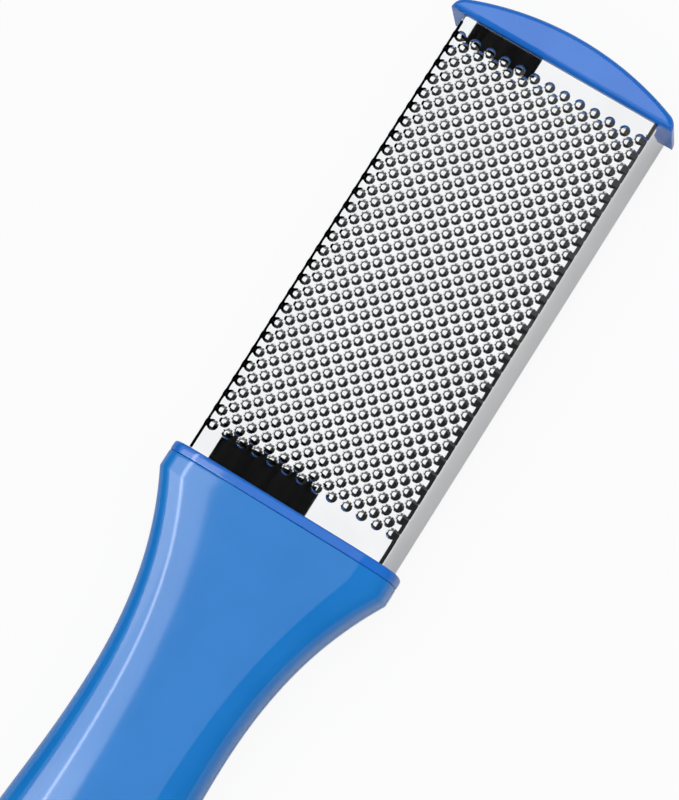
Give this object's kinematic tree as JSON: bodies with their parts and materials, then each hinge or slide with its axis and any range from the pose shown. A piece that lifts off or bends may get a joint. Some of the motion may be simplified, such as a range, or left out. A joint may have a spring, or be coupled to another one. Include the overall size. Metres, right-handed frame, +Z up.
{
  "type": "foot file",
  "caption": "Foot file with a folded steel rasp plate over a ribbed core, a fine plate behind it, a flared hollow handle with a hang hole, and a crescent end cap.",
  "frame": {"origin": "under the middle of the file's box, on the surface that it lies on, with the fine face down", "axes": "+X along the file towards the end cap, +Y across, +Z up out of the coarse face"},
  "size_m": [0.2176, 0.0476, 0.0176],
  "materials": {
    "handle_plastic": "glossy moulded",
    "trim_plastic": "glossy moulded, a little deeper",
    "polished_steel": "mirror-bright embossed stainless sheet",
    "satin_steel": "satin stainless sheet with fine teeth",
    "core_plastic": "plain moulded",
    "pin_steel": "drawn wire"
  },
  "bodies": {
    "root": {"handle_front_shell": "handle_plastic", "handle_back_shell": "handle_plastic", "mouth_ring": "trim_plastic", "end_cap": "trim_plastic", "coarse_rasp_plate": "polished_steel", "fine_rasp_plate": "satin_steel", "head_core": "core_plastic", "tang_pins": "pin_steel", "plate_rivets": "pin_steel"}
  },
  "joints": []
}
